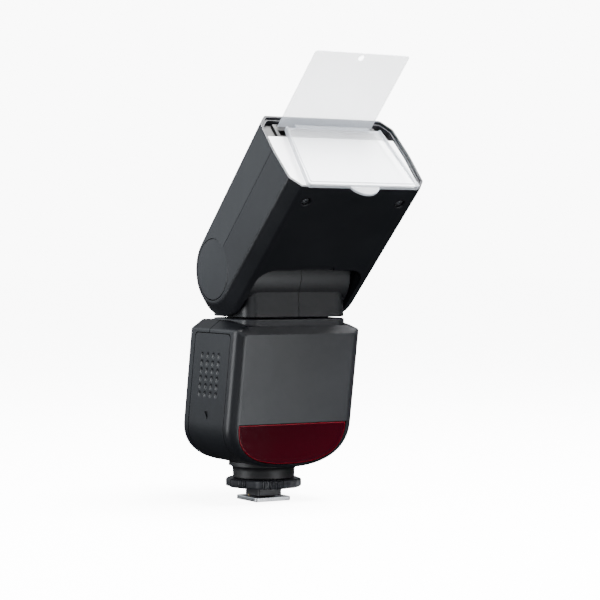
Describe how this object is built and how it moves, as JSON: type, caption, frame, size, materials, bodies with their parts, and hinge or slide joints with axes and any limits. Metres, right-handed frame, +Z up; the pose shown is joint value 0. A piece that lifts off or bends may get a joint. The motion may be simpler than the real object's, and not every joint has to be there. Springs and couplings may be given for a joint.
{
  "type": "speedlight flash",
  "caption": "Accessory-shoe flash with a leaning body, red signal window, swivel and tilt head, pull-out bounce card and flip-down wide panel.",
  "frame": {"origin": "centre of the shoe foot's underside", "axes": "+Z up out of the foot, -Y towards the subject, -X is the battery door's side; the head is stored tilted 45 degrees forward"},
  "size_m": [0.0708, 0.1083, 0.1982],
  "materials": {
    "shell_plastic": "fine spark-eroded satin texture",
    "dark_plastic": "fine matte texture",
    "trim_plastic": "satin with moulded ribs",
    "foot_metal": "nickel plated, satin",
    "steel": "zinc plated",
    "contact_gold": "gold plated",
    "red_window": "smoked red, polished",
    "red_lamp": "polished",
    "clear_plastic": "clear, polished",
    "lens_plastic": "fine parallel prisms",
    "card_plastic": "translucent white sheet",
    "circuit_board": "solder mask",
    "cell_can": "printed sleeve",
    "capacitor_can": "shrink sleeve",
    "screen": "grey-green, polished",
    "bright_reflector": "bright anodised"
  },
  "bodies": {
    "body": {"shoe_foot": "foot_metal", "shoe_stem": "dark_plastic", "shoe_neck": "shell_plastic", "front_shell": "shell_plastic", "rear_shell": "shell_plastic", "turntable": "shell_plastic", "signal_window": "red_window", "signal_lamp": "red_lamp", "battery_cradle": "dark_plastic", "cell_1": "cell_can", "cell_2": "cell_can", "cell_3": "cell_can", "cell_4": "cell_can", "cell_strip": "steel", "capacitor": "capacitor_can", "main_board": "circuit_board", "screen_window": "screen", "screen_module": "screen", "data_port": "steel"},
    "lock_ring": {"lock_ring": "trim_plastic"},
    "clamp_plate": {"clamp_plate": "steel"},
    "lock_pin": {"lock_pin": "foot_metal"},
    "contact_centre": {"contact_centre": "contact_gold"},
    "contact_1": {"contact_1": "contact_gold"},
    "contact_2": {"contact_2": "contact_gold"},
    "contact_3": {"contact_3": "contact_gold"},
    "contact_4": {"contact_4": "contact_gold"},
    "door_slide": {"door_hinge_slide": "steel"},
    "battery_door": {"battery_door": "shell_plastic", "door_contact_plate": "steel"},
    "control_dial": {"control_dial": "trim_plastic"},
    "set_button": {"set_button": "trim_plastic"},
    "test_button": {"test_button": "red_lamp"},
    "button_1": {"button_1": "trim_plastic"},
    "button_2": {"button_2": "trim_plastic"},
    "button_3": {"button_3": "trim_plastic"},
    "power_switch": {"power_switch": "trim_plastic"},
    "port_cover": {"port_cover": "dark_plastic"},
    "knuckle": {"swivel_shaft": "dark_plastic", "swivel_retainer": "steel", "knuckle_left": "dark_plastic", "knuckle_right": "dark_plastic"},
    "head": {"head_shell_top": "shell_plastic", "head_shell_under": "shell_plastic", "pivot_cap_left": "shell_plastic", "pivot_cap_right": "shell_plastic", "tilt_axle": "steel", "detent_wheel": "steel", "head_screw_1": "steel", "head_screw_2": "steel", "fresnel_lens": "lens_plastic", "lens_frame": "dark_plastic", "card_tray": "dark_plastic", "zoom_motor": "steel"},
    "zoom_carriage": {"zoom_carriage": "dark_plastic", "reflector": "bright_reflector", "flash_tube": "clear_plastic"},
    "zoom_screw": {"zoom_screw": "steel"},
    "bounce_card": {"bounce_card": "card_plastic"},
    "wide_panel": {"wide_panel": "clear_plastic"}
  },
  "joints": [
    {"name": "lock_ring_turn", "type": "hinge", "parent": "body", "child": "lock_ring", "pos_m": [0, 0, 0.0082], "axis": [0, 0, 1], "range_deg": [0, 300]},
    {"name": "clamp_press", "type": "slide", "parent": "body", "child": "clamp_plate", "axis": [0, 0, -1], "range_m": [0, 0.002]},
    {"name": "lock_pin_drop", "type": "slide", "parent": "body", "child": "lock_pin", "axis": [0, 0, -1], "range_m": [0, 0.0015]},
    {"name": "contact_centre_spring", "type": "slide", "parent": "body", "child": "contact_centre", "axis": [0, 0, 1], "range_m": [0, 0.0006], "stiffness_N_per_m": 300},
    {"name": "contact_1_spring", "type": "slide", "parent": "body", "child": "contact_1", "axis": [0, 0, 1], "range_m": [0, 0.0006], "stiffness_N_per_m": 300},
    {"name": "contact_2_spring", "type": "slide", "parent": "body", "child": "contact_2", "axis": [0, 0, 1], "range_m": [0, 0.0006], "stiffness_N_per_m": 300},
    {"name": "contact_3_spring", "type": "slide", "parent": "body", "child": "contact_3", "axis": [0, 0, 1], "range_m": [0, 0.0006], "stiffness_N_per_m": 300},
    {"name": "contact_4_spring", "type": "slide", "parent": "body", "child": "contact_4", "axis": [0, 0, 1], "range_m": [0, 0.0006], "stiffness_N_per_m": 300},
    {"name": "door_unlatch", "type": "slide", "parent": "body", "child": "door_slide", "axis": [0, 0.1518, -0.9884], "range_m": [0, 0.003]},
    {"name": "door_swing", "type": "hinge", "parent": "door_slide", "child": "battery_door", "pos_m": [-0.03275, 0.00971, 0.052], "axis": [0, 0.1518, -0.9884], "range_deg": [0, 100]},
    {"name": "dial_turn", "type": "hinge", "parent": "body", "child": "control_dial", "pos_m": [0, 0.02025, 0.03419], "axis": [0, 0.9884, 0.1518], "continuous": true},
    {"name": "set_button_press", "type": "slide", "parent": "body", "child": "set_button", "axis": [0, -0.9884, -0.1518], "range_m": [0, 0.0006], "stiffness_N_per_m": 500},
    {"name": "test_button_press", "type": "slide", "parent": "body", "child": "test_button", "axis": [0, -0.9884, -0.1518], "range_m": [0, 0.0006], "stiffness_N_per_m": 400},
    {"name": "button_1_press", "type": "slide", "parent": "body", "child": "button_1", "axis": [0, -0.9884, -0.1518], "range_m": [0, 0.0006], "stiffness_N_per_m": 400},
    {"name": "button_2_press", "type": "slide", "parent": "body", "child": "button_2", "axis": [0, -0.9884, -0.1518], "range_m": [0, 0.0006], "stiffness_N_per_m": 400},
    {"name": "button_3_press", "type": "slide", "parent": "body", "child": "button_3", "axis": [0, -0.9884, -0.1518], "range_m": [0, 0.0006], "stiffness_N_per_m": 400},
    {"name": "power_slide", "type": "slide", "parent": "body", "child": "power_switch", "axis": [0, -0.1518, 0.9884], "range_m": [0, 0.003]},
    {"name": "port_cover_swing", "type": "hinge", "parent": "body", "child": "port_cover", "pos_m": [0.03275, -0.01215, 0.055], "axis": [0, 0.1518, -0.9884], "range_deg": [0, 110]},
    {"name": "head_swivel", "type": "hinge", "parent": "body", "child": "knuckle", "pos_m": [0, -0.0125, 0.0841], "axis": [0, 0, 1], "range_deg": [-180, 150]},
    {"name": "head_tilt", "type": "hinge", "parent": "knuckle", "child": "head", "pos_m": [0, -0.0125, 0.1054], "axis": [1, 0, 0], "range_deg": [-45, 45]},
    {"name": "zoom_travel", "type": "slide", "parent": "head", "child": "zoom_carriage", "axis": [0, 0.7071, -0.7071], "range_m": [0, 0.016]},
    {"name": "zoom_screw_turn", "type": "hinge", "parent": "head", "child": "zoom_screw", "pos_m": [0.0276, -0.05206, 0.12948], "axis": [0, -0.7071, 0.7071], "range_deg": [0, 1450]},
    {"name": "card_slide", "type": "slide", "parent": "head", "child": "bounce_card", "axis": [0, -0.7071, 0.7071], "range_m": [-0.038, 0]},
    {"name": "wide_panel_flip", "type": "hinge", "parent": "head", "child": "wide_panel", "pos_m": [0, -0.05507, 0.16692], "axis": [-1, 0, 0], "range_deg": [0, 90]}
  ],
  "couplings": [
    {"joint": "lock_ring_turn", "follows": "clamp_press", "rad_per_m": 2617.9},
    {"joint": "lock_pin_drop", "follows": "clamp_press", "ratio": 0.7499},
    {"joint": "zoom_screw_turn", "follows": "zoom_travel", "rad_per_m": 1570}
  ]
}
